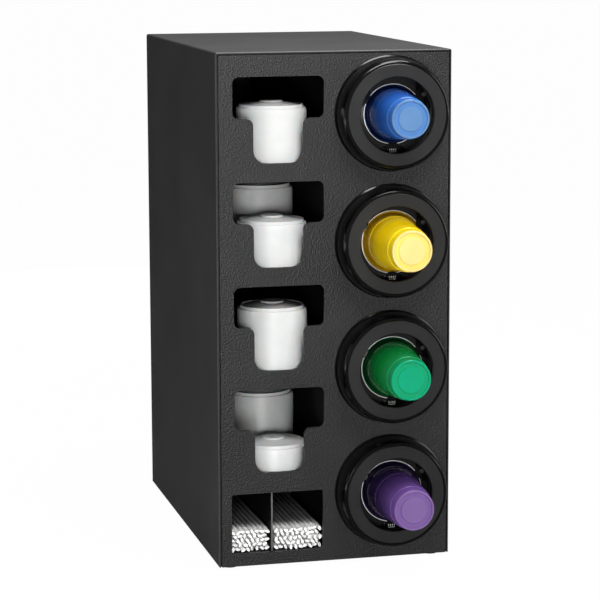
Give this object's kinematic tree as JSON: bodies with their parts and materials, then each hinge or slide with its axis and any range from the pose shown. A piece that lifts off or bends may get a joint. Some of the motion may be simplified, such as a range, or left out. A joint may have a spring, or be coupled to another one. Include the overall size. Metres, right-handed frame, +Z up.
{
  "type": "cup dispenser",
  "caption": "Countertop cabinet that feeds nested cups through spring-loaded collars with adjustable jaws, and holds lids and straws behind front openings.",
  "frame": {"origin": "on the counter under the middle of the whole object's box, from the cups' bottoms to the screw heads on the back", "axes": "+X to the user's right, +Y to the back of the cabinet, +Z up"},
  "size_m": [0.298, 0.583, 0.645],
  "materials": {
    "casing_black": "satin black moulded sheet",
    "panel_black": "black with a fine pebble grain",
    "inner_black": "plain matt black",
    "bezel_black": "glossy black",
    "ring_grey": "satin charcoal",
    "jaw_black": "polished black",
    "steel": "plain steel",
    "rubber": "matt rubber",
    "pusher_white": "white moulding",
    "cup_blue": "translucent blue",
    "cup_yellow": "translucent yellow",
    "cup_green": "translucent green",
    "cup_purple": "translucent purple",
    "lid_white": "white thin-walled moulding",
    "straw_wrap": "white wrapped straw"
  },
  "bodies": {
    "cabinet": {"casing": "casing_black", "front_panel": "panel_black", "lid_panel": "panel_black", "straw_panel": "panel_black", "back_panel": "inner_black", "base_panel": "inner_black", "centre_wall": "inner_black", "lid_shelves": "inner_black", "straw_tray": "inner_black", "straw_divider": "inner_black", "feet": "rubber", "foot_screws": "steel", "back_panel_screws": "steel", "bezel_screws": "steel", "tube_caps": "inner_black", "lid_stack_1": "lid_white", "lid_stack_2": "lid_white", "lid_stack_3": "lid_white", "lid_stack_4": "lid_white", "rear_lid_stack_2": "lid_white", "rear_lid_stack_4": "lid_white", "straws_left": "straw_wrap", "straws_right": "straw_wrap", "bezel_1": "bezel_black", "bezel_2": "bezel_black", "bezel_3": "bezel_black", "bezel_4": "bezel_black", "cup_tube_1": "inner_black", "cup_tube_2": "inner_black", "cup_tube_3": "inner_black", "cup_tube_4": "inner_black", "spring_1": "steel", "spring_2": "steel", "spring_3": "steel", "spring_4": "steel"},
    "size_ring_1": {"size_ring_1": "ring_grey"},
    "jaw_1_top": {"jaw_1_top": "jaw_black"},
    "jaw_1_right": {"jaw_1_right": "jaw_black"},
    "jaw_1_left": {"jaw_1_left": "jaw_black"},
    "cup_feed_1": {"pusher_1": "pusher_white", "cup_stack_1": "cup_blue"},
    "size_ring_2": {"size_ring_2": "ring_grey"},
    "jaw_2_top": {"jaw_2_top": "jaw_black"},
    "jaw_2_right": {"jaw_2_right": "jaw_black"},
    "jaw_2_left": {"jaw_2_left": "jaw_black"},
    "cup_feed_2": {"pusher_2": "pusher_white", "cup_stack_2": "cup_yellow"},
    "size_ring_3": {"size_ring_3": "ring_grey"},
    "jaw_3_top": {"jaw_3_top": "jaw_black"},
    "jaw_3_right": {"jaw_3_right": "jaw_black"},
    "jaw_3_left": {"jaw_3_left": "jaw_black"},
    "cup_feed_3": {"pusher_3": "pusher_white", "cup_stack_3": "cup_green"},
    "size_ring_4": {"size_ring_4": "ring_grey"},
    "jaw_4_top": {"jaw_4_top": "jaw_black"},
    "jaw_4_right": {"jaw_4_right": "jaw_black"},
    "jaw_4_left": {"jaw_4_left": "jaw_black"},
    "cup_feed_4": {"pusher_4": "pusher_white", "cup_stack_4": "cup_purple"}
  },
  "joints": [
    {"name": "size_ring_1_turn", "type": "hinge", "parent": "cabinet", "child": "size_ring_1", "pos_m": [0.071, -0.1805, 0.567], "axis": [0, -1, 0], "range_deg": [0, 40]},
    {"name": "jaw_1_top_slide", "type": "slide", "parent": "cabinet", "child": "jaw_1_top", "axis": [0, 0, 1], "range_m": [0, 0.004]},
    {"name": "jaw_1_right_slide", "type": "slide", "parent": "cabinet", "child": "jaw_1_right", "axis": [0.866, 0, -0.5], "range_m": [0, 0.004]},
    {"name": "jaw_1_left_slide", "type": "slide", "parent": "cabinet", "child": "jaw_1_left", "axis": [-0.866, 0, -0.5], "range_m": [0, 0.004]},
    {"name": "cup_feed_1_slide", "type": "slide", "parent": "cabinet", "child": "cup_feed_1", "axis": [0, 1, 0], "range_m": [0, 0.06], "stiffness_N_per_m": 30, "springref_m": -0.1, "deforming": ["spring_1"]},
    {"name": "size_ring_2_turn", "type": "hinge", "parent": "cabinet", "child": "size_ring_2", "pos_m": [0.071, -0.1805, 0.40867], "axis": [0, -1, 0], "range_deg": [0, 40]},
    {"name": "jaw_2_top_slide", "type": "slide", "parent": "cabinet", "child": "jaw_2_top", "axis": [0, 0, 1], "range_m": [0, 0.004]},
    {"name": "jaw_2_right_slide", "type": "slide", "parent": "cabinet", "child": "jaw_2_right", "axis": [0.866, 0, -0.5], "range_m": [0, 0.004]},
    {"name": "jaw_2_left_slide", "type": "slide", "parent": "cabinet", "child": "jaw_2_left", "axis": [-0.866, 0, -0.5], "range_m": [0, 0.004]},
    {"name": "cup_feed_2_slide", "type": "slide", "parent": "cabinet", "child": "cup_feed_2", "axis": [0, 1, 0], "range_m": [0, 0.06], "stiffness_N_per_m": 30, "springref_m": -0.1, "deforming": ["spring_2"]},
    {"name": "size_ring_3_turn", "type": "hinge", "parent": "cabinet", "child": "size_ring_3", "pos_m": [0.071, -0.1805, 0.25033], "axis": [0, -1, 0], "range_deg": [0, 40]},
    {"name": "jaw_3_top_slide", "type": "slide", "parent": "cabinet", "child": "jaw_3_top", "axis": [0, 0, 1], "range_m": [0, 0.004]},
    {"name": "jaw_3_right_slide", "type": "slide", "parent": "cabinet", "child": "jaw_3_right", "axis": [0.866, 0, -0.5], "range_m": [0, 0.004]},
    {"name": "jaw_3_left_slide", "type": "slide", "parent": "cabinet", "child": "jaw_3_left", "axis": [-0.866, 0, -0.5], "range_m": [0, 0.004]},
    {"name": "cup_feed_3_slide", "type": "slide", "parent": "cabinet", "child": "cup_feed_3", "axis": [0, 1, 0], "range_m": [0, 0.06], "stiffness_N_per_m": 30, "springref_m": -0.1, "deforming": ["spring_3"]},
    {"name": "size_ring_4_turn", "type": "hinge", "parent": "cabinet", "child": "size_ring_4", "pos_m": [0.071, -0.1805, 0.092], "axis": [0, -1, 0], "range_deg": [0, 40]},
    {"name": "jaw_4_top_slide", "type": "slide", "parent": "cabinet", "child": "jaw_4_top", "axis": [0, 0, 1], "range_m": [0, 0.004]},
    {"name": "jaw_4_right_slide", "type": "slide", "parent": "cabinet", "child": "jaw_4_right", "axis": [0.866, 0, -0.5], "range_m": [0, 0.004]},
    {"name": "jaw_4_left_slide", "type": "slide", "parent": "cabinet", "child": "jaw_4_left", "axis": [-0.866, 0, -0.5], "range_m": [0, 0.004]},
    {"name": "cup_feed_4_slide", "type": "slide", "parent": "cabinet", "child": "cup_feed_4", "axis": [0, 1, 0], "range_m": [0, 0.06], "stiffness_N_per_m": 30, "springref_m": -0.1, "deforming": ["spring_4"]}
  ],
  "couplings": [
    {"joint": "jaw_1_top_slide", "follows": "size_ring_1_turn", "m_per_rad": 0.0057295},
    {"joint": "jaw_1_right_slide", "follows": "size_ring_1_turn", "m_per_rad": 0.0057295},
    {"joint": "jaw_1_left_slide", "follows": "size_ring_1_turn", "m_per_rad": 0.0057295},
    {"joint": "jaw_2_top_slide", "follows": "size_ring_2_turn", "m_per_rad": 0.0057295},
    {"joint": "jaw_2_right_slide", "follows": "size_ring_2_turn", "m_per_rad": 0.0057295},
    {"joint": "jaw_2_left_slide", "follows": "size_ring_2_turn", "m_per_rad": 0.0057295},
    {"joint": "jaw_3_top_slide", "follows": "size_ring_3_turn", "m_per_rad": 0.0057295},
    {"joint": "jaw_3_right_slide", "follows": "size_ring_3_turn", "m_per_rad": 0.0057295},
    {"joint": "jaw_3_left_slide", "follows": "size_ring_3_turn", "m_per_rad": 0.0057295},
    {"joint": "jaw_4_top_slide", "follows": "size_ring_4_turn", "m_per_rad": 0.0057295},
    {"joint": "jaw_4_right_slide", "follows": "size_ring_4_turn", "m_per_rad": 0.0057295},
    {"joint": "jaw_4_left_slide", "follows": "size_ring_4_turn", "m_per_rad": 0.0057295}
  ]
}
